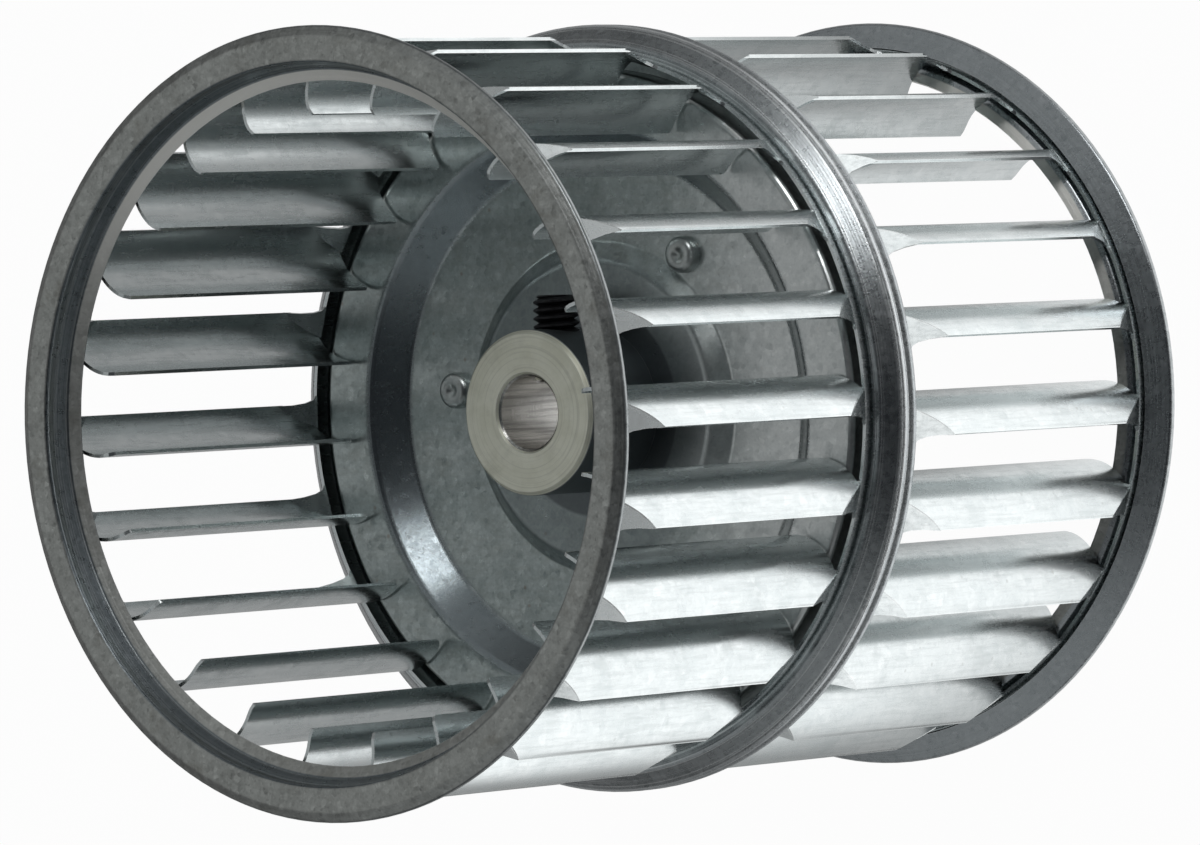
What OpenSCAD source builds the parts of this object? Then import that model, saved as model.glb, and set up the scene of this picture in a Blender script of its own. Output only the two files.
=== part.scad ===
// Double inlet blower wheel: two lanced blade strips, three formed rings,
// a drawn center disc and a turned hub held to the shaft by a set screw.
// The wheel stands on its rear ring, with its axis along Z and the hub end up.

/* [Wheel] */
// Outer diameter over the ring rims
wheel_d = 133.4; // [128:0.2:150]
// Length over the crests of both end rings
wheel_len = 155; // [140:1:190]

/* [Blade strips] */
// Number of blades in each strip
blade_count = 24; // [18:1:28]
// Thickness of the strip metal
strip_t = 0.6; // [0.4:0.05:0.8]
// Distance by which the blade tips stand out of the bands
tip_reach = 2.7; // [2:0.1:3.2]
// Radial depth of a blade from its tip to its inner edge
blade_depth = 12.4; // [10.5:0.1:14.5]
// Angle by which the inner edge lies ahead of the tip
blade_lean = 6.5; // [3:0.5:8]
// Bending radius of the blade section
blade_bend_r = 9.9; // [9:0.1:14]
// Length of the folded neck between band and blade
neck_len = 7.5; // [4:0.5:10]
// Angle by which a neck spreads past its blade tip on the band
neck_flare = 1.6; // [0.4:0.2:2.4]
// Height from a ring flange up to the lower end of the windows
low_land = 2.6; // [2.4:0.1:4]
// Height from the upper end of the windows to the next ring flange
high_land = 4.1; // [3:0.1:7]
// Slit between the inner end of a blade and the band
end_slit = 0.5; // [0.2:0.1:1]
// Rounding of the inner blade corners
corner_r = 2.6; // [1:0.1:4]
// Turn of the lower strip about the axis
low_strip_turn = 10.5; // [0:0.1:15]
// Turn of the upper strip about the axis
high_strip_turn = 14.2; // [0:0.1:15]

/* [Rings] */
// Thickness of the ring metal
ring_t = 0.6; // [0.5:0.05:0.8]
// Distance by which the ring rims stand out of the bands
rim_reach = 4.9; // [4.3:0.1:5.5]
// Distance by which the inlet flanges reach in from the outside of the bands
inlet_reach = 4.2; // [3.2:0.1:5.8]
// Depth of the inlet edge below the crest of an end ring
inlet_depth = 5.7; // [5:0.1:7]
// Play left between crimped sheets
seam_gap = 0.1; // [0.05:0.05:0.15]

/* [Center disc] */
// Thickness of the disc metal
disc_t = 1; // [0.8:0.1:1.4]
// Height of the outer zone of the disc above the rim flange
disc_rise = 5.7; // [4.5:0.1:6]
// Height of the hub seat above the middle zone of the disc
seat_rise = 2.7; // [1:0.1:3.5]
// Outer radius of the raised hub seat
seat_r = 25.6; // [20:0.1:27]
// Radial width of the outer zone
outer_zone_w = 9; // [7:0.1:13]
// Radial width of the sloped step outside the middle zone
step_w = 5.2; // [3.5:0.1:6]

/* [Hub] */
// Diameter of the shaft bore
bore_d = 12.7; // [8:0.1:16]
// Outer diameter of the hub
hub_d = 28.6; // [25:0.1:34]
// Length of the hub in front of the disc
hub_len = 17.9; // [14:0.1:30]
// Diameter of the spigot that goes through disc and plate
spigot_d = 22; // [18:0.1:23]
// Height of the staked collar behind the plate
collar_h = 1.5; // [1:0.1:3]
// Chamfer at the ends of the hub and of its bore
hub_chamfer = 0.7; // [0.3:0.1:1.2]
// Diameter of the set screw
screw_d = 7.94; // [5:0.01:9]
// Length of the set screw
screw_len = 12.7; // [10:0.1:20]
// Distance from the hub face to the axis of the set screw
screw_drop = 8.5; // [7:0.1:9]
// Distance between the screw point and the shaft surface
screw_retreat = 1; // [0.2:0.1:3]
// Width across the flats of the hexagon socket
socket_w = 4; // [2.5:0.1:4.5]

/* [Plate and rivets] */
// Radial width of the stiffening plate outside the rivet circle
plate_margin = 5.3; // [4:0.1:7]
// Thickness of the stiffening plate
plate_t = 1.5; // [1:0.1:2.5]
// Distance of the rivet circle outside the edge of the hub seat
rivet_out = 7.1; // [7:0.1:8.5]
// Angle of the first rivet
rivet_angle = 54.3; // [0:0.1:120]
// Diameter of the rivet heads
rivet_head_d = 6.4; // [4:0.1:6.4]
// Height of the front rivet heads
rivet_head_h = 2.4; // [1:0.1:3]
// Diameter of the rivet shanks
rivet_d = 3.2; // [2:0.1:3.6]

/* [Hidden] */
$fn = 96;
eps = 0.01;

rim_r = wheel_d / 2;
center_z = wheel_len / 2;
band_r = rim_r - rim_reach;
tip_r = band_r + tip_reach;
inner_r = tip_r - blade_depth;
inlet_r = band_r - inlet_reach;
band_mid_r = band_r - strip_t / 2;
blade_pitch = 360 / blade_count;

// Depth of the crimped strip flange below the crest of an end ring, and its distance inside the rim
flange_depth = 2.5;
end_flange_inset = 3.2;
end_flange_r = rim_r - end_flange_inset;
// Distance of the crimped strip flanges from the middle of the center ring, and past the bands
center_flange_z = 3.7;
center_flange_reach = 1.3;
center_flange_r = band_r + center_flange_reach;

// Profile of an end ring, measured down from its crest: the lower ends of its inner wall and of
// its cone, the rim fold and the lip. The face is flat between the inner wall and the rim fold.
wall_foot = 2.1;
cone_foot = 4.4;
cone_reach = 1;
face_w = 3.9;
fold_z = 1.35;
fold_len = 0.6;
lip_z = 3.9;
// Distance of the ring lips outside the bands
lip_gap = 0.4;
// Profile of the center ring, measured from its middle: beads, sloped shoulders, crest and groove
bead_reach = 1.5;
shoulder_z = 2;
shoulder_inset = 0.5;
crest_z = 1.1;
crest_groove = 0.7;
// Bending radius of the tight folds in the ring metal
fold_r = ring_t * 0.75;

// Rim flange of the disc inside the center ring, the wall that leads down to it and the middle zone
disc_rim_r = rim_r - crest_groove - ring_t - seam_gap;
rim_wall_inset = 2.8;
rim_wall_r = band_r - strip_t - rim_wall_inset;
mid_zone_r = rim_wall_r - outer_zone_w - step_w;
mid_zone_rise = 0.3;
// Radial width of the slope round the hub seat, and bending radii of the drawn disc
seat_slope_w = 3.4;
seat_bend_r = 1.6;
step_bend_r = 2;
rim_bend_r = 0.8;
rivet_circle_r = seat_r + rivet_out;
plate_r = rivet_circle_r + plate_margin;

rear_strip_low = flange_depth;
rear_strip_high = center_z - center_flange_z;
front_strip_low = center_z + center_flange_z;
front_strip_high = wheel_len - flange_depth;

// Heights of the disc zones, each at the middle of the sheet
outer_zone_z = center_z + disc_rise;
mid_zone_z = center_z + mid_zone_rise;
seat_z = mid_zone_z + seat_rise;
disc_front = mid_zone_z + disc_t / 2;
disc_back = mid_zone_z - disc_t / 2;
hub_seat = seat_z + disc_t / 2;
hub_face = hub_seat + hub_len;
plate_back = disc_back - plate_t;
hub_back = plate_back - collar_h;
screw_z = hub_face - screw_drop;
screw_low = bore_d / 2 + screw_retreat;
// Play of the spigot, the screw and the rivets in their holes
spigot_gap = 0.05;
// Reach of the staked collar past the spigot
collar_reach = 1.2;
// Distance by which a cutting body runs past what it cuts
cut_over = 1;

// Points on circles and bent sheet outlines
function polar(r, a) = [r * cos(a), r * sin(a)];
function unit(v) = v / norm(v);
function left_of(v) = [-v.y, v.x];
function turn_angle(u, v) = atan2(u.x * v.y - u.y * v.x, u * v);

// Arc that rounds the corner b between the points a and c
function bend(a, b, c, r, steps) =
    let (
        u = unit(b - a),
        v = unit(c - b),
        turn = turn_angle(u, v),
        start = b - u * r * tan(abs(turn) / 2),
        middle = start + left_of(u) * r * sign(turn),
        arm = start - middle
    )
    [for (i = [0:steps])
        let (w = turn * i / steps)
        middle + [arm.x * cos(w) - arm.y * sin(w), arm.x * sin(w) + arm.y * cos(w)]];

// Line through corner points [r, z, bend radius], with every inner corner rounded
function bent_line(p, steps = 5) = [
    [p[0].x, p[0].y],
    for (i = [1:len(p) - 2])
        each bend([p[i - 1].x, p[i - 1].y], [p[i].x, p[i].y], [p[i + 1].x, p[i + 1].y], p[i].z, steps),
    [p[len(p) - 1].x, p[len(p) - 1].y]];

function line_dir(p, i) = unit(p[min(i + 1, len(p) - 1)] - p[min(i, len(p) - 2)]);
function line_side(p, d) = [
    for (i = [0:len(p) - 1])
        let (
            before = line_dir(p, max(i - 1, 0)),
            after = line_dir(p, i),
            middle = unit(before + after)
        )
        p[i] + left_of(middle) * d / (middle * before)];
function reversed(p) = [for (i = [len(p) - 1:-1:0]) p[i]];

// Sheet of thickness t revolved about the axis along a bent line
module spun_sheet(corners, t) {
    line = bent_line(corners);
    rotate_extrude($fn = 180)
        polygon(concat(line_side(line, t / 2), reversed(line_side(line, -t / 2))));
}

// End rings: inlet flange, cone, inner wall, flat face, rim fold and the lip that grips the strip
module end_ring() {
    half = ring_t / 2;
    wall_r = band_r - strip_t - half - seam_gap;
    spun_sheet([
        [inlet_r, inlet_depth, 0],
        [wall_r - cone_reach, cone_foot, fold_r],
        [wall_r, wall_foot, fold_r],
        [wall_r, half, fold_r],
        [wall_r + face_w, half, 2 * fold_r],
        [rim_r - half, fold_z, fold_r],
        [rim_r - half, fold_z + fold_len, fold_r],
        [band_r + lip_gap, lip_z, 0]], ring_t);
}

module rear_end_ring() {
    color([0.33, 0.34, 0.35])
        end_ring();
}

module front_end_ring() {
    color([0.45, 0.45, 0.43])
        translate([0, 0, wheel_len])
            mirror([0, 0, 1])
                end_ring();
}

// Center ring: two beads, two sloped shoulders and a grooved crest
module center_ring() {
    half = ring_t / 2;
    bead_z = center_flange_z + strip_t / 2 + seam_gap + half;
    crest_r = rim_r - half;
    upper = [
        [band_r + lip_gap, bead_z, 0],
        [band_r + bead_reach, bead_z, ring_t],
        [crest_r - shoulder_inset, shoulder_z, rim_bend_r],
        [crest_r, crest_z, fold_r]];
    lower = [for (i = [len(upper) - 1:-1:0]) [upper[i].x, -upper[i].y, upper[i].z]];
    color([0.25, 0.26, 0.27])
        translate([0, 0, center_z])
            spun_sheet(concat(upper, [[crest_r - crest_groove, 0, fold_r]], lower), ring_t);
}

// Blade section: an arc from the tip to the inner edge, hollow on the clockwise side
tip_point = polar(tip_r - strip_t / 2, 0);
root_point = polar(inner_r, blade_lean);
chord = root_point - tip_point;
bulge_dir = -left_of(unit(chord));
arc_center = (tip_point + root_point) / 2
    - bulge_dir * sqrt(pow(blade_bend_r, 2) - pow(norm(chord) / 2, 2));
arc_tip_a = atan2(tip_point.y - arc_center.y, tip_point.x - arc_center.x);
arc_root_a = atan2(root_point.y - arc_center.y, root_point.x - arc_center.x);
// Place on the arc where the blade crosses the band
center_r = norm(arc_center);
arc_cross_a = atan2(arc_center.y, arc_center.x)
    + acos((pow(band_mid_r, 2) - pow(center_r, 2) - pow(blade_bend_r, 2)) / (2 * center_r * blade_bend_r));
cross_point = arc_center + polar(blade_bend_r, arc_cross_a);
cross_a = atan2(cross_point.y, cross_point.x);

// One blade section over its full arc, from the tip to the inner edge
module blade_section() {
    reach = 3 * blade_bend_r;
    middle_a = (arc_tip_a + arc_root_a) / 2;
    translate(arc_center)
        intersection() {
            difference() {
                circle(blade_bend_r + strip_t / 2);
                circle(blade_bend_r - strip_t / 2);
            }
            polygon([[0, 0], polar(reach, arc_tip_a), polar(reach * 1.4, middle_a), polar(reach, arc_root_a)]);
        }
}

// Side view of the blades as radius and height: full length inside the band, rounded
// inner corners, and outside the band a slanted end along which the neck is folded on
function blade_outline(low, high) =
    let (
        root_low = low + end_slit,
        root_high = high - end_slit,
        band_inner_r = band_r - strip_t,
        free_r = inner_r - strip_t
    )
    concat(
        [[rim_r, high - neck_len], [tip_r, high - neck_len], [band_mid_r, high],
            [band_mid_r, high + neck_lap], [band_inner_r, high + neck_lap]],
        bent_line([[band_inner_r, root_high, 0], [free_r, root_high, corner_r],
            [free_r, root_low, corner_r], [band_inner_r, root_low, 0]], 4),
        [[band_inner_r, low - neck_lap], [band_mid_r, low - neck_lap],
            [band_mid_r, low], [tip_r, low + neck_len], [rim_r, low + neck_len]]);

module blades(low, high) {
    intersection() {
        translate([0, 0, low - neck_lap])
            linear_extrude(high - low + 2 * neck_lap)
                for (k = [0:blade_count - 1])
                    rotate(k * blade_pitch)
                        blade_section();
        rotate_extrude($fn = 180)
            polygon(blade_outline(low, high));
    }
}

// Neck: a flat fold from the window edge on the band up to the slanted blade end. Its outline
// runs along the band, along a hollow free edge to the blade tip, and back along the crease.
neck_lap = 0.2;
neck_t = strip_t * 0.9;
neck_start = polar(band_mid_r, cross_a);
neck_end = polar(band_mid_r, -neck_flare);
neck_run = unit(neck_end - neck_start);
neck_rise = (tip_point - neck_start) * left_of(neck_run);
neck_slope = norm([neck_rise, neck_len]);
neck_width = norm(neck_end - neck_start);
neck_foot = [(polar(band_mid_r, 0) - neck_start) * neck_run, 0];
neck_tip = [(tip_point - neck_start) * neck_run, neck_slope];
crease_side = left_of(unit(neck_tip));
// The crease follows the hollow of the blade section, which lies this far behind the fold
crease_bulge = blade_bend_r - sqrt(pow(blade_bend_r, 2) - pow(norm(tip_point - neck_start) / 2, 2));

function free_edge(w) =
    [neck_width, 0] * pow(1 - w, 2) + neck_foot * 2 * w * (1 - w) + neck_tip * pow(w, 2);

module neck() {
    translate([neck_start.x, neck_start.y, 0])
        rotate([atan2(neck_len, neck_rise), 0, atan2(neck_run.y, neck_run.x)])
            translate([0, 0, -neck_t / 2])
                linear_extrude(neck_t)
                    polygon(concat(
                        [crease_side * neck_lap, [0, -neck_lap], [neck_width, -neck_lap]],
                        [for (w = [0:0.25:1]) free_edge(w)],
                        [neck_tip + crease_side * neck_lap,
                            neck_tip / 2 + crease_side * (crease_bulge + neck_lap)]));
}

module neck_pair(low, high) {
    translate([0, 0, low])
        neck();
    translate([0, 0, high])
        mirror([0, 0, 1])
            neck();
}

module band(low, high) {
    translate([0, 0, low])
        difference() {
            cylinder(h = high - low, r = band_r);
            translate([0, 0, -eps])
                cylinder(h = high - low + 2 * eps, r = band_r - strip_t);
        }
}

module flange(z, outer_r) {
    translate([0, 0, z - strip_t / 2])
        difference() {
            cylinder(h = strip_t, r = outer_r);
            translate([0, 0, -eps])
                cylinder(h = strip_t + 2 * eps, r = band_r - strip_t);
        }
}

module blade_strip(low, high, low_flange_r, high_flange_r) {
    window_low = low + low_land;
    window_high = high - high_land;
    flange(low, low_flange_r);
    flange(high, high_flange_r);
    band(low - strip_t / 2, window_low);
    band(window_high, high + strip_t / 2);
    blades(window_low, window_high);
    for (k = [0:blade_count - 1])
        rotate([0, 0, k * blade_pitch])
            neck_pair(window_low, window_high);
}

module rear_blade_strip() {
    color([0.72, 0.74, 0.75])
        rotate([0, 0, low_strip_turn])
            blade_strip(rear_strip_low, rear_strip_high, end_flange_r, center_flange_r);
}

module front_blade_strip() {
    color([0.72, 0.74, 0.75])
        rotate([0, 0, high_strip_turn])
            blade_strip(front_strip_low, front_strip_high, center_flange_r, end_flange_r);
}

// Center disc: hub seat, low middle zone, sloped step, outer zone and rim flange
module rivet_holes(r, low, high) {
    for (k = [0:2])
        rotate([0, 0, rivet_angle + 120 * k])
            translate([rivet_circle_r, 0, low])
                cylinder(h = high - low, r = r);
}

module center_disc() {
    color([0.5, 0.53, 0.53])
        difference() {
            spun_sheet([
                [spigot_d / 2 + spigot_gap, seat_z, 0],
                [seat_r, seat_z, seat_bend_r],
                [seat_r + seat_slope_w, mid_zone_z, seat_bend_r],
                [mid_zone_r, mid_zone_z, step_bend_r],
                [mid_zone_r + step_w, outer_zone_z, step_bend_r],
                [rim_wall_r, outer_zone_z, rim_bend_r],
                [rim_wall_r, center_z, disc_t * 0.6],
                [disc_rim_r, center_z, 0]], disc_t);
            rivet_holes(rivet_d / 2 + spigot_gap, disc_back - cut_over, disc_front + cut_over);
        }
}

// Hub: turned boss, spigot through disc and plate, collar staked over behind
module hub_outline() {
    c = hub_chamfer;
    bore_r = bore_d / 2;
    hub_r = hub_d / 2;
    collar_r = spigot_d / 2 + collar_reach;
    polygon([
        [bore_r + c, hub_back],
        [collar_r - c, hub_back],
        [collar_r, hub_back + c],
        [collar_r, plate_back],
        [spigot_d / 2, plate_back],
        [spigot_d / 2, hub_seat],
        [hub_r, hub_seat],
        [hub_r, hub_face - c],
        [hub_r - c, hub_face],
        [bore_r + c, hub_face],
        [bore_r, hub_face - c],
        [bore_r, hub_back + c]]);
}

module hub() {
    color([0.68, 0.67, 0.58])
        difference() {
            rotate_extrude($fn = 180)
                hub_outline();
            translate([0, 0, screw_z])
                rotate([-90, 0, 0])
                    cylinder(h = hub_d, r = screw_d / 2 + spigot_gap);
        }
}

module set_screw() {
    top = screw_low + screw_len;
    chamfer = 0.8;
    color([0.08, 0.08, 0.09])
        difference() {
            translate([0, screw_low, screw_z])
                rotate([-90, 0, 0])
                    rotate_extrude()
                        polygon([
                            [0, 0],
                            [screw_d / 2 - 2 * chamfer, 0],
                            [screw_d / 2, 2 * chamfer],
                            [screw_d / 2, screw_len - chamfer],
                            [screw_d / 2 - chamfer, screw_len],
                            [0, screw_len]]);
            translate([0, top - socket_w, screw_z])
                rotate([-90, 0, 0])
                    cylinder(h = socket_w + cut_over, r = socket_w / sqrt(3), $fn = 6);
        }
}

module hub_plate() {
    color([0.5, 0.52, 0.52])
        difference() {
            translate([0, 0, plate_back])
                cylinder(h = plate_t, r = plate_r);
            translate([0, 0, plate_back - cut_over])
                cylinder(h = plate_t + 2 * cut_over, r = spigot_d / 2 + spigot_gap);
            rivet_holes(rivet_d / 2 + spigot_gap, plate_back - cut_over, disc_back + cut_over);
        }
}

// Rivet with a dimpled front head and a low rear head
module rivet(k) {
    edge = 0.6;
    head_r = rivet_head_d / 2;
    dimple_r = head_r * 0.4;
    dimple_depth = 0.3;
    rear_h = 1;
    color([0.45, 0.46, 0.46])
        rotate([0, 0, rivet_angle + 120 * k])
            translate([rivet_circle_r, 0, 0])
                rotate_extrude()
                    polygon([
                        [0, plate_back - rear_h],
                        [head_r - edge, plate_back - rear_h],
                        [head_r, plate_back - rear_h + edge],
                        [head_r, plate_back],
                        [rivet_d / 2, plate_back],
                        [rivet_d / 2, disc_front],
                        [head_r, disc_front],
                        [head_r, disc_front + rivet_head_h - edge],
                        [head_r - edge, disc_front + rivet_head_h],
                        [dimple_r, disc_front + rivet_head_h],
                        [dimple_r / 2, disc_front + rivet_head_h - dimple_depth],
                        [0, disc_front + rivet_head_h - dimple_depth]]);
}

module rivet_1() {
    rivet(0);
}

module rivet_2() {
    rivet(1);
}

module rivet_3() {
    rivet(2);
}

rear_end_ring();
rear_blade_strip();
center_ring();
center_disc();
front_blade_strip();
front_end_ring();
hub();
set_screw();
hub_plate();
rivet_1();
rivet_2();
rivet_3();
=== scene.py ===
import math

import bpy
from mathutils import Matrix, Vector


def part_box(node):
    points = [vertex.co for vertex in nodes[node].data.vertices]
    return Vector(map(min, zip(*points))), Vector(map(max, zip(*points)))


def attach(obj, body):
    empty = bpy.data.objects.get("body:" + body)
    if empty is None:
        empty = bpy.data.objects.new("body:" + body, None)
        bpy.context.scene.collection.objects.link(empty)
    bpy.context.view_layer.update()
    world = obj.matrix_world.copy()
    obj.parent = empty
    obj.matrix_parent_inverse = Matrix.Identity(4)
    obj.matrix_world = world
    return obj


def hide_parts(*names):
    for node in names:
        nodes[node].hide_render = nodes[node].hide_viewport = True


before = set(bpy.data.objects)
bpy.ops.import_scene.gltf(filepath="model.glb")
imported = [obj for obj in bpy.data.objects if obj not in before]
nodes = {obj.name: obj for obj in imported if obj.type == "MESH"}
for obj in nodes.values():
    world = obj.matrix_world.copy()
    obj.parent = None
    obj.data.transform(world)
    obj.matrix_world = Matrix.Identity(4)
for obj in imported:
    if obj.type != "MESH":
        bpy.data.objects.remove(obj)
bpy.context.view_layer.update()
print("stage: frame loaded,", len(nodes), "nodes")

cameraSetup = {
    "place": (0.9751, 0.0410, 1.2671),
    "forward": (-0.63423, -0.02821, -0.77264),
    "up": (0.0, 0.99933, -0.03649),
    "lens": 265.8,
    "sensor": 36.0,
    "farEnd": 30.0,
}


def addCamera(setup):
    data = bpy.data.cameras.new("photoCamera")
    data.lens = setup["lens"]
    data.sensor_width = setup["sensor"]
    data.clip_end = setup["farEnd"]
    camera = bpy.data.objects.new("photoCamera", data)
    bpy.context.scene.collection.objects.link(camera)
    forward = Vector(setup["forward"]).normalized()
    right = forward.cross(Vector(setup["up"])).normalized()
    up = right.cross(forward).normalized()
    turn = Matrix((right, up, -forward)).transposed().to_4x4()
    camera.matrix_world = Matrix.Translation(setup["place"]) @ turn
    bpy.context.scene.camera = camera


addCamera(cameraSetup)
print("stage: camera placed")


# small helpers for shader trees
def addNode(tree, kind, **values):
    node = tree.nodes.new(kind)
    for name, value in values.items():
        setattr(node, name, value)
    return node


def link(tree, fromSocket, toSocket):
    tree.links.new(fromSocket, toSocket)


def feed(tree, socket, value):
    # a socket is linked, and anything else is written as its value
    if isinstance(value, bpy.types.NodeSocket):
        tree.links.new(value, socket)
    else:
        socket.default_value = value


def mathNode(tree, operation, *values, clamp=False):
    node = addNode(tree, "ShaderNodeMath", operation=operation, use_clamp=clamp)
    for socket, value in zip(node.inputs, values):
        feed(tree, socket, value)
    return node.outputs[0]


def vectorNode(tree, operation, *values):
    node = addNode(tree, "ShaderNodeVectorMath", operation=operation)
    for socket, value in zip(node.inputs, values):
        feed(tree, socket, value)
    return node.outputs["Value"] if operation in ("DOT_PRODUCT", "LENGTH") else node.outputs[0]


def scaledVector(tree, vector, factor):
    node = addNode(tree, "ShaderNodeVectorMath", operation="SCALE")
    feed(tree, node.inputs[0], vector)
    node.inputs["Scale"].default_value = factor
    return node.outputs[0]


def rangeNode(tree, value, fromLow, fromHigh, toLow=0.0, toHigh=1.0):
    node = addNode(tree, "ShaderNodeMapRange", interpolation_type="SMOOTHSTEP")
    names = ("Value", "From Min", "From Max", "To Min", "To Max")
    for name, given in zip(names, (value, fromLow, fromHigh, toLow, toHigh)):
        feed(tree, node.inputs[name], given)
    return node.outputs[0]


def mixColor(tree, factor, colorA, colorB):
    node = addNode(tree, "ShaderNodeMix", data_type="RGBA")
    feed(tree, node.inputs[0], factor)
    for socket, color in ((node.inputs[6], colorA), (node.inputs[7], colorB)):
        feed(tree, socket, (*color, 1.0) if isinstance(color, tuple) else color)
    return node.outputs[2]


def overlay(tree, color, mask, share, topColor):
    # the top colour covers its share of the color wherever the mask is 1
    return mixColor(tree, mathNode(tree, "MULTIPLY", mask, share), color, topColor)


def noiseNode(tree, vector, scale, detail=3.0, roughness=0.55):
    node = addNode(tree, "ShaderNodeTexNoise")
    feed(tree, node.inputs["Vector"], vector)
    node.inputs["Scale"].default_value = scale
    node.inputs["Detail"].default_value = detail
    node.inputs["Roughness"].default_value = roughness
    return node


def newGroup(name, inputs, outputs):
    group = bpy.data.node_groups.new(name, "ShaderNodeTree")
    for socketName, kind, value in inputs:
        socket = group.interface.new_socket(socketName, in_out="INPUT", socket_type="NodeSocket" + kind)
        if value is not None:
            socket.default_value = value
    for socketName, kind in outputs:
        group.interface.new_socket(socketName, in_out="OUTPUT", socket_type="NodeSocket" + kind)
    return group, addNode(group, "NodeGroupInput").outputs, addNode(group, "NodeGroupOutput").inputs


def useGroup(tree, group, **values):
    node = addNode(tree, "ShaderNodeGroup", node_tree=group)
    for name, value in values.items():
        feed(tree, node.inputs[name], value)
    return node.outputs


# zinc crystals: soft patches of light and dark in two sizes, with fine grain over them
zincValues = {
    "bendScale": 0.55, "bendReach": 1.1,
    "cellScales": (1.0, 2.3), "cellWeights": (0.46, 0.32), "channels": (0.5, 0.3, 0.2),
    "coreRadius": 0.3, "rimRadius": 0.75, "rimShare": 0.1,
    "grainScale": 2.4, "grainWeight": 0.3, "wideScale": 0.09, "wideWeight": 0.5, "middle": 0.54,
}


def makeZincBloom(values):
    group, given, made = newGroup(
        "zincBloom",
        [("Place", "Vector", None), ("Crystal", "Float", 3.0), ("Contrast", "Float", 1.0)],
        [("Shade", "Float"), ("Height", "Float")])
    bend = noiseNode(group, given["Place"], values["bendScale"], 2.0)
    bent = scaledVector(group, bend.outputs["Color"], values["bendReach"])
    shifted = vectorNode(group, "ADD", given["Place"], bent)
    perSize = mathNode(group, "DIVIDE", 1.0, given["Crystal"])
    fine = noiseNode(group, given["Place"], values["grainScale"], 4.0, 0.65).outputs[0]
    wide = noiseNode(group, given["Place"], values["wideScale"], 3.0, 0.6).outputs[0]
    total = mathNode(group, "MULTIPLY", fine, values["grainWeight"])
    for cellScale, weight in zip(values["cellScales"], values["cellWeights"]):
        cells = addNode(group, "ShaderNodeTexVoronoi", feature="F1")
        feed(group, cells.inputs["Vector"], shifted)
        feed(group, cells.inputs["Scale"], mathNode(group, "MULTIPLY", perSize, cellScale))
        tone = vectorNode(group, "DOT_PRODUCT", cells.outputs["Color"], values["channels"])
        tone = mathNode(group, "SUBTRACT", tone, 0.5)
        # the tone fades towards the rim of its cell
        core = rangeNode(
            group, cells.outputs["Distance"], values["coreRadius"], values["rimRadius"], 1.0, values["rimShare"])
        patch = mathNode(group, "ADD", mathNode(group, "MULTIPLY", tone, core), 0.5)
        total = mathNode(group, "ADD", total, mathNode(group, "MULTIPLY", patch, weight))
    centred = mathNode(group, "SUBTRACT", total, values["middle"])
    shade = mathNode(group, "ADD", mathNode(group, "MULTIPLY", centred, given["Contrast"]), 0.5)
    drift = mathNode(group, "MULTIPLY", mathNode(group, "SUBTRACT", wide, 0.5), values["wideWeight"])
    link(group, mathNode(group, "ADD", shade, drift, clamp=True), made["Shade"])
    link(group, fine, made["Height"])
    return group


# painted highlight along cut and folded edges, found as the places where a rounded normal would turn away
edgeValues = {"samples": 2, "turnFrom": 0.02, "turnTo": 0.22}


def makePaintedEdgeHighlight(values):
    group, given, made = newGroup("paintedEdgeHighlight", [("Width", "Float", 0.0002)], [("Edge", "Float")])
    bevel = addNode(group, "ShaderNodeBevel", samples=values["samples"])
    feed(group, bevel.inputs["Radius"], given["Width"])
    geometry = addNode(group, "ShaderNodeNewGeometry")
    along = vectorNode(group, "DOT_PRODUCT", bevel.outputs[0], geometry.outputs["Normal"])
    turned = mathNode(group, "SUBTRACT", 1.0, along)
    link(group, rangeNode(group, turned, values["turnFrom"], values["turnTo"]), made["Edge"])
    return group


# stains, fine scratches and specks left by handling
handlingValues = {
    "blotScale": 0.16, "blotFrom": 0.52, "blotTo": 0.72,
    "scratches": (
        {"turn": (0.4, 0.9, 0.2), "stretch": (0.08, 3.2, 3.2)},
        {"turn": (1.3, 0.2, 2.1), "stretch": (3.0, 0.07, 2.4)},
    ),
    "scratchFrom": 0.66, "scratchTo": 0.74,
    "dotScale": 0.3, "dotRim": 0.14, "dotCore": 0.06, "dotsLeftOut": 0.72,
}


def makeHandling(values):
    group, given, made = newGroup(
        "handling", [("Place", "Vector", None), ("Seed", "Vector", None)],
        [("Stain", "Float"), ("Scratch", "Float"), ("Speck", "Float")])
    moved = vectorNode(group, "ADD", given["Place"], given["Seed"])
    blot = noiseNode(group, moved, values["blotScale"], 5.0, 0.7).outputs[0]
    link(group, rangeNode(group, blot, values["blotFrom"], values["blotTo"]), made["Stain"])
    lines = []
    for scratch in values["scratches"]:
        mapping = addNode(group, "ShaderNodeMapping")
        feed(group, mapping.inputs["Vector"], moved)
        mapping.inputs["Rotation"].default_value = scratch["turn"]
        mapping.inputs["Scale"].default_value = scratch["stretch"]
        drawn = noiseNode(group, mapping.outputs[0], 1.0, 2.0).outputs[0]
        lines.append(rangeNode(group, drawn, values["scratchFrom"], values["scratchTo"]))
    link(group, mathNode(group, "MAXIMUM", *lines), made["Scratch"])
    dots = addNode(group, "ShaderNodeTexVoronoi", feature="F1")
    feed(group, dots.inputs["Vector"], moved)
    dots.inputs["Scale"].default_value = values["dotScale"]
    chance = vectorNode(group, "DOT_PRODUCT", dots.outputs["Color"], (1.0, 0.0, 0.0))
    sparse = mathNode(group, "GREATER_THAN", chance, values["dotsLeftOut"])
    dot = rangeNode(group, dots.outputs["Distance"], values["dotRim"], values["dotCore"])
    link(group, mathNode(group, "MULTIPLY", dot, sparse), made["Speck"])
    return group


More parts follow.
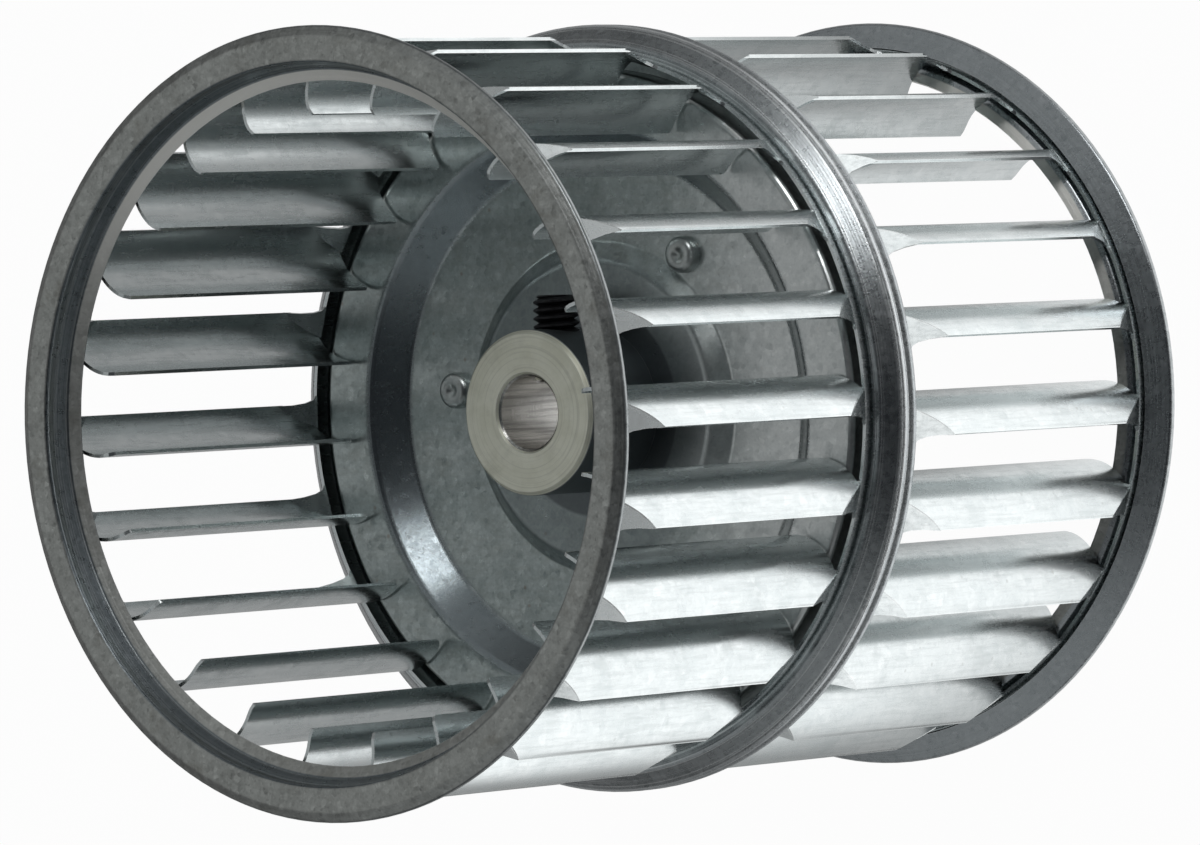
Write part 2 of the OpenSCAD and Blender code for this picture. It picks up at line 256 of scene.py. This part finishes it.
# radius from the wheel axis, height, and lines drawn round the axis by forming tools
def makeRoundLines(changeRound):
    group, given, made = newGroup(
        "roundLines", [("Place", "Vector", None), ("PerMillimetre", "Float", 2.0)],
        [("Radius", "Float"), ("Level", "Float"), ("Line", "Float")])
    parts = addNode(group, "ShaderNodeSeparateXYZ")
    feed(group, parts.inputs[0], given["Place"])
    flat = addNode(group, "ShaderNodeCombineXYZ")
    feed(group, flat.inputs[0], parts.outputs[0])
    feed(group, flat.inputs[1], parts.outputs[1])
    radius = vectorNode(group, "LENGTH", flat.outputs[0])
    outward = vectorNode(group, "NORMALIZE", flat.outputs[0])
    strip = addNode(group, "ShaderNodeCombineXYZ")
    feed(group, strip.inputs[0], mathNode(group, "MULTIPLY", radius, given["PerMillimetre"]))
    feed(group, strip.inputs[1], mathNode(group, "MULTIPLY", parts.outputs[2], given["PerMillimetre"]))
    feed(group, strip.inputs[2], vectorNode(group, "DOT_PRODUCT", outward, changeRound))
    link(group, radius, made["Radius"])
    link(group, parts.outputs[2], made["Level"])
    link(group, noiseNode(group, strip.outputs[0], 1.0, 3.0, 0.6).outputs[0], made["Line"])
    return group


zincBloom = makeZincBloom(zincValues)
paintedEdgeHighlight = makePaintedEdgeHighlight(edgeValues)
handling = makeHandling(handlingValues)
roundLines = makeRoundLines((0.6, 0.35, 0.0))
print("stage: shader groups made")


def startMaterial(name):
    material = bpy.data.materials.new(name)
    material.use_nodes = True
    tree = material.node_tree
    tree.nodes.clear()
    shader = addNode(tree, "ShaderNodeBsdfPrincipled")
    output = addNode(tree, "ShaderNodeOutputMaterial")
    link(tree, shader.outputs[0], output.inputs[0])
    # patterns are laid out in millimetres
    coordinates = addNode(tree, "ShaderNodeTexCoord")
    place = scaledVector(tree, coordinates.outputs["Object"], 1000.0)
    return material, tree, shader, place


def addBump(tree, shader, height, distance, strength):
    bump = addNode(tree, "ShaderNodeBump")
    bump.inputs["Strength"].default_value = strength
    bump.inputs["Distance"].default_value = distance
    feed(tree, bump.inputs["Height"], height)
    link(tree, bump.outputs[0], shader.inputs["Normal"])


# galvanised sheet, used with its own values for the blade strips, the disc, the plate and the rivets
def galvanised(name, look):
    material, tree, shader, place = startMaterial(name)
    zinc = useGroup(tree, zincBloom, Place=place, Crystal=look["crystal"], Contrast=look["contrast"])
    marks = useGroup(tree, handling, Place=place, Seed=look["seed"])
    edge = useGroup(tree, paintedEdgeHighlight, Width=look["edgeWidth"])
    color = mixColor(tree, zinc["Shade"], look["dark"], look["bright"])
    drawn = noiseNode(tree, vectorNode(tree, "MULTIPLY", place, look["streakScale"]), 1.0, 4.0, 0.65)
    streak = rangeNode(tree, drawn.outputs[0], look["streakFrom"], look["streakTo"])
    color = overlay(tree, color, streak, look["streak"], look["stainColor"])
    color = overlay(tree, color, marks["Stain"], look["stain"], look["stainColor"])
    color = overlay(tree, color, marks["Speck"], look["speck"], look["speckColor"])
    color = overlay(tree, color, marks["Scratch"], look["scratch"], look["edgeColor"])
    gloss = 0.0
    if look["zones"]:
        rounds = useGroup(tree, roundLines, Place=place)
    for zone in look["zones"]:
        begins, ends, soft = zone["from"], zone["to"], zone["soft"]
        inside = rangeNode(tree, rounds["Radius"], begins - soft, begins + soft)
        outside = rangeNode(tree, rounds["Radius"], ends - soft, ends + soft, 1.0, 0.0)
        within = mathNode(tree, "MULTIPLY", inside, outside)
        color = overlay(tree, color, within, zone["share"], zone["color"])
        gloss = mathNode(tree, "ADD", gloss, mathNode(tree, "MULTIPLY", within, zone["gloss"]))
    # painted light: the disc is painted paler towards +X
    if look["paintedLight"]:
        paintedLight = look["paintedLight"]
        across = vectorNode(tree, "DOT_PRODUCT", place, paintedLight["towards"])
        paintedLightColor = mixColor(tree, zinc["Shade"], paintedLight["dark"], paintedLight["bright"])
        side = rangeNode(tree, across, paintedLight["from"], paintedLight["to"], 0.0, paintedLight["share"])
        color = mixColor(tree, side, color, paintedLightColor)
    # painted highlight along the edges
    color = overlay(tree, color, edge["Edge"], look["edgeShare"], look["edgeColor"])
    link(tree, color, shader.inputs["Base Color"])
    rough = rangeNode(tree, zinc["Shade"], 0.2, 0.8, look["roughDark"], look["roughBright"])
    worn = mathNode(tree, "ADD", marks["Stain"], streak)
    rough = mathNode(tree, "ADD", rough, mathNode(tree, "MULTIPLY", worn, look["roughWorn"]))
    link(tree, mathNode(tree, "SUBTRACT", rough, gloss), shader.inputs["Roughness"])
    shader.inputs["Metallic"].default_value = look["metal"]
    addBump(tree, shader, zinc["Height"], look["relief"], look["bump"])
    return material


stripLook = {
    "crystal": 2.0, "contrast": 0.55, "seed": (3.0, 11.0, 5.0),
    "dark": (0.50, 0.56, 0.57), "bright": (0.94, 0.97, 0.97),
    "stain": 0.25, "stainColor": (0.42, 0.46, 0.46),
    "speck": 0.25, "speckColor": (0.36, 0.37, 0.35),
    "streak": 0.22, "streakScale": (1.3, 1.3, 0.12), "streakFrom": 0.42, "streakTo": 0.68,
    "scratch": 0.03, "edgeColor": (0.95, 0.96, 0.96), "edgeShare": 0.8, "edgeWidth": 0.00022,
    "roughBright": 0.19, "roughDark": 0.29, "roughWorn": 0.05,
    "metal": 1.0, "relief": 0.0001, "bump": 0.04, "zones": [], "paintedLight": None,
}
discLook = {
    "crystal": 1.5, "contrast": 1.4, "seed": (31.0, 7.0, 15.0),
    "dark": (0.22, 0.26, 0.26), "bright": (0.66, 0.72, 0.71),
    "stain": 0.3, "stainColor": (0.30, 0.31, 0.28),
    "speck": 0.5, "speckColor": (0.28, 0.22, 0.17),
    "streak": 0.2, "streakScale": (0.25, 0.9, 0.9), "streakFrom": 0.42, "streakTo": 0.68,
    "scratch": 0.0, "edgeColor": (0.80, 0.82, 0.82), "edgeShare": 0.5, "edgeWidth": 0.0003,
    "roughBright": 0.27, "roughDark": 0.33, "roughWorn": 0.05,
    "metal": 1.0, "relief": 0.0001, "bump": 0.12,
    # radii in millimetres: middle of the disc, painted shade round the hub, sloped step painted darker as shade
    # and made glossier
    "zones": [
        {"from": 0.0, "to": 26.6, "soft": 0.8, "share": 0.55, "color": (0.20, 0.23, 0.24), "gloss": 0.0},
        # painted shade round the hub
        {"from": 14.0, "to": 18.6, "soft": 0.35, "share": 0.75, "color": (0.10, 0.11, 0.12), "gloss": 0.0},
        # painted shade on the sloped step, which is also glossier
        {"from": 43.9, "to": 49.6, "soft": 0.7, "share": 0.7, "color": (0.27, 0.31, 0.34), "gloss": 0.08},
    ],
    # painted light: the disc turns paler towards +X
    "paintedLight": {
        "towards": (1.0, 0.0, 0.0), "from": 12.0, "to": 40.0, "share": 0.8,
        "dark": (0.55, 0.58, 0.58), "bright": (0.97, 0.98, 0.97),
    },
}
plateLook = dict(discLook, seed=(2.0, 47.0, 9.0), speck=0.4, zones=[], paintedLight=None)
rivetLook = dict(
    discLook, crystal=1.1, contrast=0.9, seed=(60.0, 8.0, 2.0), dark=(0.34, 0.37, 0.37), bright=(0.66, 0.70, 0.69),
    edgeShare=0.35, zones=[], paintedLight=None)


# formed ring steel: a duller face and cone, glossy walls and folds painted darker as shade, and lines drawn round
# the axis
def ringSteel(name, look):
    material, tree, shader, place = startMaterial(name)
    zinc = useGroup(tree, zincBloom, Place=place, Crystal=look["crystal"], Contrast=look["contrast"])
    marks = useGroup(tree, handling, Place=place, Seed=look["seed"])
    edge = useGroup(tree, paintedEdgeHighlight, Width=look["edgeWidth"])
    rounds = useGroup(tree, roundLines, Place=place, PerMillimetre=look["lines"])
    inWall = rangeNode(tree, rounds["Radius"], look["wallFrom"] - look["wallSoft"], look["wallFrom"])
    pastWall = rangeNode(tree, rounds["Radius"], look["wallTo"] - look["wallSoft"], look["wallTo"])
    fromMiddle = mathNode(tree, "ABSOLUTE", mathNode(tree, "SUBTRACT", rounds["Level"], look["middle"]))
    geometry = addNode(tree, "ShaderNodeNewGeometry")
    upright = vectorNode(tree, "DOT_PRODUCT", geometry.outputs["Normal"], (0.0, 0.0, 1.0))
    upright = mathNode(tree, "ABSOLUTE", upright)
    # painted shade: sloped folds keep only part of the face colour
    flat = rangeNode(tree, upright, look["flatFrom"], look["flatTo"], look["foldShare"], 1.0)
    atCrest = rangeNode(tree, fromMiddle, look["faceLevel"] - look["faceSoft"], look["faceLevel"])
    onFace = mathNode(tree, "MULTIPLY", pastWall, mathNode(tree, "MULTIPLY", atCrest, flat))
    cone = mathNode(tree, "SUBTRACT", 1.0, inWall)
    face = mathNode(tree, "ADD", cone, onFace, clamp=True)
    # painted shade: the walls take darker colours than the face
    wallColor = mixColor(tree, zinc["Shade"], look["wallDark"], look["wallBright"])
    line = rangeNode(tree, rounds["Line"], look["lineFrom"], look["lineTo"], 0.0, look["lineShare"])
    wallColor = mixColor(tree, line, wallColor, look["lineColor"])
    faceColor = mixColor(tree, zinc["Shade"], look["faceDark"], look["faceBright"])
    faceColor = overlay(tree, faceColor, marks["Stain"], look["stain"], look["stainColor"])
    # painted light: the cone is painted lighter towards +Y, the side the lamp lights
    across = vectorNode(tree, "DOT_PRODUCT", place, look["coneTowards"])
    paintedLight = rangeNode(tree, across, look["coneFrom"], look["coneTo"], look["coneLeast"], look["coneShare"])
    faceColor = overlay(tree, faceColor, cone, paintedLight, look["conePaintedLightColor"])
    color = mixColor(tree, face, wallColor, faceColor)
    color = overlay(tree, color, marks["Scratch"], look["scratch"], look["edgeColor"])
    # painted highlight along the edges
    color = overlay(tree, color, edge["Edge"], look["edgeShare"], look["edgeColor"])
    link(tree, color, shader.inputs["Base Color"])
    rough = rangeNode(tree, face, 0.0, 1.0, look["roughWall"], look["roughFace"])
    rough = mathNode(tree, "ADD", rough, mathNode(tree, "MULTIPLY", cone, look["coneRough"]))
    uneven = mathNode(tree, "MULTIPLY", mathNode(tree, "SUBTRACT", zinc["Shade"], 0.5), look["roughUneven"])
    link(tree, mathNode(tree, "ADD", rough, uneven), shader.inputs["Roughness"])
    shader.inputs["Metallic"].default_value = look["metal"]
    grainHeight = mathNode(tree, "MULTIPLY", zinc["Height"], look["grainHeight"])
    lineHeight = mathNode(tree, "MULTIPLY", rounds["Line"], look["lineHeight"])
    addBump(tree, shader, mathNode(tree, "ADD", grainHeight, lineHeight), look["relief"], look["bump"])
    return material


# radii and levels in millimetres, with levels counted from the middle of the wheel
frontRingLook = {
    "crystal": 1.2, "contrast": 1.5, "seed": (9.0, 1.0, 3.0),
    "wallFrom": 59.4, "wallTo": 60.9, "wallSoft": 0.3, "middle": 77.5, "faceLevel": 75.7, "faceSoft": 0.4,
    "flatFrom": 0.6, "flatTo": 0.97, "foldShare": 0.3,
    # painted shade: the front ring's walls are painted dark
    "wallDark": (0.11, 0.13, 0.14), "wallBright": (0.25, 0.28, 0.30),
    "lines": 2.2, "lineFrom": 0.5, "lineTo": 0.6, "lineShare": 0.5, "lineColor": (0.40, 0.43, 0.44),
    "faceDark": (0.20, 0.205, 0.195), "faceBright": (0.66, 0.675, 0.65),
    # painted light on the cone, strongest towards +Y
    "coneTowards": (0.0, 1.0, 0.0), "coneFrom": 5.0, "coneTo": 45.0, "coneLeast": 0.1, "coneShare": 0.85,
    "conePaintedLightColor": (0.97, 0.96, 0.92), "coneRough": 0.12,
    "stain": 0.6, "stainColor": (0.27, 0.265, 0.24), "scratch": 0.03,
    "edgeColor": (0.85, 0.86, 0.86), "edgeShare": 0.6, "edgeWidth": 0.00025,
    "roughWall": 0.3, "roughFace": 0.38, "roughUneven": 0.14,
    "metal": 1.0, "grainHeight": 0.5, "lineHeight": 1.1, "relief": 0.00012, "bump": 0.5,
}
# the centre ring's forming lines are painted near white as highlights on their ridges, and its walls are painted
# lighter than the front ring's
centerRingLook = dict(
    frontRingLook, seed=(40.0, 2.0, 8.0), wallDark=(0.26, 0.285, 0.295), wallBright=(0.54, 0.57, 0.585),
    lineColor=(0.86, 0.89, 0.90), roughWall=0.28, lines=3.0, lineFrom=0.55, lineTo=0.65, lineShare=0.8)
# painted light: the rear ring's walls are painted lighter than the front ring's
rearRingLook = dict(
    frontRingLook, seed=(70.0, 22.0, 18.0), wallDark=(0.30, 0.33, 0.345), wallBright=(0.56, 0.59, 0.61),
    roughWall=0.28)


# turned steel: rings from the tool on the face, a brighter bore and a side painted dark as shade
def turnedHub(name, look):
    material, tree, shader, place = startMaterial(name)
    marks = useGroup(tree, handling, Place=place, Seed=look["seed"])
    edge = useGroup(tree, paintedEdgeHighlight, Width=look["edgeWidth"])
    rounds = useGroup(tree, roundLines, Place=place, PerMillimetre=look["lines"])
    coarse = useGroup(tree, roundLines, Place=place, PerMillimetre=look["coarseLines"])
    boreEnd = look["boreRadius"] + look["boreSoft"]
    bore = rangeNode(tree, rounds["Radius"], look["boreRadius"], boreEnd, 1.0, 0.0)
    side = rangeNode(tree, rounds["Radius"], look["sideRadius"] - look["sideSoft"], look["sideRadius"])
    film = noiseNode(tree, place, look["filmScale"], 4.0, 0.6).outputs[0]
    color = mixColor(tree, rangeNode(tree, film, 0.3, 0.7), look["faceDark"], look["faceBright"])
    line = rangeNode(tree, coarse["Line"], look["lineFrom"], look["lineTo"], 0.0, look["lineShare"])
    color = mixColor(tree, line, color, look["lineColor"])
    color = overlay(tree, color, marks["Stain"], look["stain"], look["stainColor"])
    reamed = noiseNode(tree, vectorNode(tree, "MULTIPLY", place, look["boreScale"]), 1.0, 3.0).outputs[0]
    boreMark = rangeNode(tree, reamed, look["reamFrom"], look["reamTo"])
    color = mixColor(tree, bore, color, mixColor(tree, boreMark, look["boreColor"], look["boreLine"]))
    # painted shade on the side of the hub
    color = mixColor(tree, side, color, look["sideShadeColor"])
    # painted highlight along the edges
    color = overlay(tree, color, edge["Edge"], look["edgeShare"], look["edgeColor"])
    link(tree, color, shader.inputs["Base Color"])
    rough = rangeNode(tree, bore, 0.0, 1.0, look["roughFace"], look["roughBore"])
    cut = mathNode(tree, "MULTIPLY", coarse["Line"], look["roughLine"])
    link(tree, mathNode(tree, "ADD", rough, cut), shader.inputs["Roughness"])
    shader.inputs["Metallic"].default_value = look["metal"]
    addBump(tree, shader, mathNode(tree, "ADD", rounds["Line"], coarse["Line"]), look["relief"], look["bump"])
    return material


hubLook = {
    "seed": (5.0, 5.0, 1.0), "boreRadius": 6.6, "boreSoft": 0.15, "sideRadius": 14.28, "sideSoft": 0.12,
    "faceDark": (0.84, 0.84, 0.71), "faceBright": (0.95, 0.95, 0.83), "filmScale": 0.22,
    "lines": 9.0, "coarseLines": 3.2, "lineFrom": 0.5, "lineTo": 0.68, "lineShare": 0.35,
    "lineColor": (0.58, 0.58, 0.49), "stain": 0.2, "stainColor": (0.50, 0.50, 0.43),
    "boreColor": (0.64, 0.63, 0.60), "boreLine": (0.40, 0.39, 0.375), "boreScale": (1.6, 1.6, 0.06),
    "reamFrom": 0.4, "reamTo": 0.66, "sideShadeColor": (0.15, 0.17, 0.18),
    "edgeColor": (0.88, 0.89, 0.88), "edgeShare": 0.5, "edgeWidth": 0.0003,
    "roughFace": 0.46, "roughBore": 0.18, "roughLine": 0.12, "metal": 1.0, "relief": 0.00005, "bump": 0.4,
}


# black oxide on the screw, with a painted highlight along its edges and crests
def blackOxide(name, look):
    material, tree, shader, place = startMaterial(name)
    edge = useGroup(tree, paintedEdgeHighlight, Width=look["edgeWidth"])
    grain = noiseNode(tree, place, look["grainScale"], 4.0, 0.6).outputs[0]
    color = mixColor(tree, rangeNode(tree, grain, 0.3, 0.7), look["dark"], look["bright"])
    # painted highlight along the edges
    color = overlay(tree, color, edge["Edge"], look["edgeShare"], look["edgeColor"])
    link(tree, color, shader.inputs["Base Color"])
    rough = rangeNode(tree, grain, 0.2, 0.8, look["roughLeast"], look["roughMost"])
    link(tree, rough, shader.inputs["Roughness"])
    shader.inputs["Metallic"].default_value = look["metal"]
    addBump(tree, shader, grain, look["relief"], look["bump"])
    return material


screwLook = {
    "dark": (0.010, 0.010, 0.011), "bright": (0.030, 0.031, 0.034), "grainScale": 1.8,
    "edgeColor": (0.12, 0.12, 0.13), "edgeShare": 0.6, "edgeWidth": 0.00012,
    "roughLeast": 0.36, "roughMost": 0.52, "metal": 0.6, "relief": 0.00005, "bump": 0.3,
}

materials = {
    "galvanisedStrip": galvanised("galvanisedStrip", stripLook),
    "galvanisedDisc": galvanised("galvanisedDisc", discLook),
    "galvanisedPlate": galvanised("galvanisedPlate", plateLook),
    "rivetSteel": galvanised("rivetSteel", rivetLook),
    "frontRingSteel": ringSteel("frontRingSteel", frontRingLook),
    "centerRingSteel": ringSteel("centerRingSteel", centerRingLook),
    "rearRingSteel": ringSteel("rearRingSteel", rearRingLook),
    "turnedSteel": turnedHub("turnedSteel", hubLook),
    "blackOxide": blackOxide("blackOxide", screwLook),
}
nodeMaterials = {
    "rear_end_ring": "rearRingSteel", "front_end_ring": "frontRingSteel", "center_ring": "centerRingSteel",
    "rear_blade_strip": "galvanisedStrip", "front_blade_strip": "galvanisedStrip",
    "center_disc": "galvanisedDisc", "hub_plate": "galvanisedPlate", "hub": "turnedSteel",
    "set_screw": "blackOxide", "rivet_1": "rivetSteel", "rivet_2": "rivetSteel", "rivet_3": "rivetSteel",
}
for nodeName, materialName in nodeMaterials.items():
    nodes[nodeName].data.materials.clear()
    nodes[nodeName].data.materials.append(materials[materialName])
print("stage: materials assigned")


def deselectAll():
    if bpy.context.object and bpy.context.object.mode != "OBJECT":
        bpy.ops.object.mode_set(mode="OBJECT")
    bpy.ops.object.select_all(action="DESELECT")


# a closed turned body: a disc is extruded from step to step, each with its own radius and height
def turnedBody(name, steps, sides):
    deselectAll()
    radius, height = steps[0]
    bpy.ops.mesh.primitive_circle_add(vertices=sides, radius=radius, fill_type="NGON")
    body = bpy.context.object
    body.name = name
    bpy.ops.object.mode_set(mode="EDIT")
    bpy.ops.mesh.select_mode(type="FACE")
    bpy.ops.mesh.select_all(action="SELECT")
    bpy.ops.transform.translate(value=(0, 0, height))
    for newRadius, newHeight in steps[1:]:
        bpy.ops.mesh.extrude_region_move(TRANSFORM_OT_translate={"value": (0, 0, newHeight - height)})
        scale = newRadius / radius
        bpy.ops.transform.resize(value=(scale, scale, 1), center_override=(0, 0, newHeight))
        radius, height = newRadius, newHeight
    bpy.ops.mesh.select_all(action="SELECT")
    bpy.ops.mesh.normals_make_consistent(inside=False)
    bpy.ops.object.mode_set(mode="OBJECT")
    return body


def cutAway(piece, cutter):
    deselectAll()
    piece.select_set(True)
    bpy.context.view_layer.objects.active = piece
    cut = piece.modifiers.new("cut", "BOOLEAN")
    cut.solver = "EXACT"
    cut.operation = "DIFFERENCE"
    cut.object = cutter
    bpy.ops.object.modifier_apply(modifier=cut.name)
    bpy.data.objects.remove(cutter, do_unlink=True)


# puts a body that was turned about Z at the origin in its place
def settle(piece, place, turn=(0, 0, 0)):
    deselectAll()
    piece.select_set(True)
    bpy.context.view_layer.objects.active = piece
    piece.location = place
    piece.rotation_euler = turn
    bpy.ops.object.transform_apply(location=True, rotation=True, scale=True)


def finishPiece(piece, nodeName, smoothAngle):
    deselectAll()
    piece.select_set(True)
    bpy.context.view_layer.objects.active = piece
    bpy.ops.object.shade_smooth_by_angle(angle=math.radians(smoothAngle))
    piece.data.materials.clear()
    piece.data.materials.append(materials[nodeMaterials[nodeName]])
    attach(piece, "root")
    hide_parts(nodeName)


# set screw: chamfered blank, cut V thread and hexagon socket, laid along +Y
screwShape = {
    "pitch": 0.001411, "grooveDepth": 0.00095, "grooveSize": 0.0008, "stepsPerTurn": 48,
    "tipChamfer": 0.0016, "endChamfer": 0.0008, "socketFlats": 0.004, "socketDepth": 0.004,
    "sides": 72, "smoothAngle": 28,
}


def addSetScrew(shape):
    boxLow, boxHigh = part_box("set_screw")
    radius = (boxHigh.x - boxLow.x) / 2
    length = boxHigh.y - boxLow.y
    axisHeight = (boxHigh.z + boxLow.z) / 2
    tip, end = shape["tipChamfer"], shape["endChamfer"]
    screw = turnedBody("setScrew", [
        (radius - tip, 0), (radius, tip), (radius, length - end), (radius - end, length)], shape["sides"])
    turns = math.ceil(length / shape["pitch"]) + 2
    settle(screw, (0, 0, 0), (-math.pi / 2, 0, 0))
    deselectAll()
    bpy.ops.mesh.primitive_circle_add(
        vertices=3, radius=shape["grooveSize"], fill_type="NOTHING", rotation=(0, 0, math.pi / 2),
        location=(radius - shape["grooveDepth"] + shape["grooveSize"], -shape["pitch"], 0))
    groove = bpy.context.object
    bpy.ops.object.transform_apply(location=True, rotation=True, scale=True)
    sweep = groove.modifiers.new("sweep", "SCREW")
    sweep.axis = "Y"
    sweep.angle = 2 * math.pi
    sweep.screw_offset = shape["pitch"]
    sweep.iterations = turns
    sweep.steps = sweep.render_steps = shape["stepsPerTurn"]
    bpy.ops.object.modifier_apply(modifier=sweep.name)
    bpy.ops.object.mode_set(mode="EDIT")
    bpy.ops.mesh.select_all(action="SELECT")
    bpy.ops.mesh.fill_holes(sides=3)
    bpy.ops.mesh.normals_make_consistent(inside=False)
    bpy.ops.object.mode_set(mode="OBJECT")
    cutAway(screw, groove)
    deselectAll()
    bpy.ops.mesh.primitive_cylinder_add(
        vertices=6, radius=shape["socketFlats"] / math.sqrt(3), depth=2 * shape["socketDepth"],
        location=(0, length, 0), rotation=(math.pi / 2, 0, 0))
    cutAway(screw, bpy.context.object)
    settle(screw, (0, boxLow.y, axisHeight))
    finishPiece(screw, "set_screw", shape["smoothAngle"])


# rivets: rounded front head with a soft dimple, shank and low rear head
rivetShape = {
    "dimpleRadius": 0.0016, "dimpleDepth": 0.0007, "dimpleShares": (1.0, 0.85, 0.65, 0.45, 0.25, 0.08),
    "round": 0.0013, "rearRound": 0.0006, "roundSteps": 6, "shank": 0.0016,
    "frontFace": 0.0783, "rearFace": 0.0758, "sides": 40, "smoothAngle": 45,
}


def addRivet(nodeName, shape):
    boxLow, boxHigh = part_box(nodeName)
    center = (boxLow + boxHigh) / 2
    radius = (boxHigh.x - boxLow.x) / 2
    steps = []
    for step in range(shape["roundSteps"] + 1):
        turn = math.pi / 2 * step / shape["roundSteps"]
        inward = shape["rearRound"] * (1 - math.sin(turn))
        steps.append((radius - inward, boxLow.z + shape["rearRound"] * (1 - math.cos(turn))))
    steps += [(radius, shape["rearFace"]), (shape["shank"], shape["rearFace"]),
              (shape["shank"], shape["frontFace"]), (radius, shape["frontFace"])]
    for step in range(shape["roundSteps"] + 1):
        turn = math.pi / 2 * step / shape["roundSteps"]
        inward = shape["round"] * (1 - math.cos(turn))
        steps.append((radius - inward, boxHigh.z - shape["round"] * (1 - math.sin(turn))))
    for share in shape["dimpleShares"]:
        fall = (1 + math.cos(math.pi * share)) / 2
        steps.append((shape["dimpleRadius"] * share, boxHigh.z - shape["dimpleDepth"] * fall))
    rivet = turnedBody(nodeName.replace("_", "Head"), steps, shape["sides"])
    settle(rivet, (center.x, center.y, 0))
    finishPiece(rivet, nodeName, shape["smoothAngle"])


addSetScrew(screwShape)
for nodeName in ("rivet_1", "rivet_2", "rivet_3"):
    addRivet(nodeName, rivetShape)
print("stage: screw and rivets built")


# studio: a pale floor that curves up into a backdrop, one soft lamp and a grey room above
studioLook = {
    "floorRadius": 3.2, "curveSteps": 6, "wallHeight": 1.5, "floorColor": (0.86, 0.86, 0.86), "whiteSeen": 0.97,
    "reflectedLeft": 0.36, "reflectedRight": 1.3, "shadeFrom": 0.0, "shadeTo": 0.09,
    "reflectedFar": 0.14, "whiteTo": 0.3, "whiteGone": 0.8,
    "roomFar": (0.34, 0.35, 0.352), "roomNear": (0.03, 0.032, 0.035),
    "nearDirection": (0.634, 0.028, 0.773), "nearFrom": 0.62, "nearTo": 0.93, "roomStrength": 1.0,
    "lamps": [
        {"name": "keyLamp", "from": (0.87, 1.26, 0.92), "aim": (0, 0, 0.08), "size": 0.6, "power": 5.6},
    ],
}


def addStudio(look):
    deselectAll()
    bpy.ops.mesh.primitive_circle_add(vertices=96, radius=look["floorRadius"], fill_type="NGON")
    sweep = bpy.context.object
    sweep.name = "studioSweep"
    bpy.ops.object.mode_set(mode="EDIT")
    bpy.ops.mesh.select_mode(type="EDGE")
    bpy.ops.mesh.select_all(action="SELECT")
    bend = look["wallHeight"] / 2
    radius = look["floorRadius"]
    rise = 0.0
    for step in range(1, look["curveSteps"] + 1):
        turn = math.pi / 2 * step / look["curveSteps"]
        newRadius = look["floorRadius"] + bend * math.sin(turn)
        newRise = bend * (1 - math.cos(turn))
        bpy.ops.mesh.select_all(action="DESELECT")
        bpy.ops.mesh.select_non_manifold()
        bpy.ops.mesh.extrude_edges_move(TRANSFORM_OT_translate={"value": (0, 0, newRise - rise)})
        scale = newRadius / radius
        bpy.ops.transform.resize(value=(scale, scale, 1), center_override=(0, 0, newRise))
        radius, rise = newRadius, newRise
    bpy.ops.mesh.select_all(action="DESELECT")
    bpy.ops.mesh.select_non_manifold()
    bpy.ops.mesh.extrude_edges_move(TRANSFORM_OT_translate={"value": (0, 0, look["wallHeight"] - rise)})
    bpy.ops.object.mode_set(mode="OBJECT")
    bpy.ops.object.shade_smooth_by_angle(angle=math.radians(40))
    paint = bpy.data.materials.new("studioPaint")
    paint.use_nodes = True
    tree = paint.node_tree
    tree.nodes.clear()
    matte = addNode(tree, "ShaderNodeBsdfDiffuse")
    matte.inputs[0].default_value = (*look["floorColor"], 1)
    white = addNode(tree, "ShaderNodeEmission")
    white.inputs[0].default_value = (1, 1, 1, 1)
    path = addNode(tree, "ShaderNodeLightPath")
    reflected = mathNode(tree, "MAXIMUM", path.outputs["Is Glossy Ray"], path.outputs["Is Transmission Ray"])
    # metal mirrors the floor bright beside the wheel and dimmer to the left of it and far away
    place = addNode(tree, "ShaderNodeTexCoord").outputs["Object"]
    across = vectorNode(tree, "DOT_PRODUCT", place, (1.0, 0.0, 0.0))
    near = rangeNode(
        tree, across, look["shadeFrom"], look["shadeTo"], look["reflectedLeft"], look["reflectedRight"])
    away = vectorNode(tree, "LENGTH", place)
    shade = rangeNode(tree, away, look["whiteTo"], look["whiteGone"], near, look["reflectedFar"])
    seen = mathNode(tree, "MULTIPLY", path.outputs["Is Camera Ray"], look["whiteSeen"])
    mirrored = mathNode(tree, "MULTIPLY", reflected, shade)
    link(tree, mathNode(tree, "ADD", path.outputs["Is Camera Ray"], mirrored), white.inputs[1])
    mix = addNode(tree, "ShaderNodeMixShader")
    feed(tree, mix.inputs[0], mathNode(tree, "MAXIMUM", seen, reflected))
    link(tree, matte.outputs[0], mix.inputs[1])
    link(tree, white.outputs[0], mix.inputs[2])
    output = addNode(tree, "ShaderNodeOutputMaterial")
    link(tree, mix.outputs[0], output.inputs[0])
    sweep.data.materials.append(paint)
    for lamp in look["lamps"]:
        data = bpy.data.lights.new(lamp["name"], "AREA")
        data.energy = lamp["power"]
        data.size = lamp["size"]
        light = bpy.data.objects.new(lamp["name"], data)
        bpy.context.scene.collection.objects.link(light)
        light.location = lamp["from"]
        aim = Vector(lamp["aim"]) - Vector(lamp["from"])
        light.rotation_euler = aim.to_track_quat("-Z", "Y").to_euler()


def addRoom(look):
    world = bpy.data.worlds.new("greyRoom")
    bpy.context.scene.world = world
    world.use_nodes = True
    tree = world.node_tree
    tree.nodes.clear()
    coordinates = addNode(tree, "ShaderNodeTexCoord")
    nearness = vectorNode(tree, "DOT_PRODUCT", coordinates.outputs["Generated"], look["nearDirection"])
    share = rangeNode(tree, nearness, look["nearFrom"], look["nearTo"])
    background = addNode(tree, "ShaderNodeBackground")
    link(tree, mixColor(tree, share, look["roomFar"], look["roomNear"]), background.inputs[0])
    background.inputs[1].default_value = look["roomStrength"]
    output = addNode(tree, "ShaderNodeOutputWorld")
    link(tree, background.outputs[0], output.inputs[0])


addStudio(studioLook)
addRoom(studioLook)
bpy.context.scene.view_settings.view_transform = "Standard"
print("stage: studio ready")


print("stage: finished")
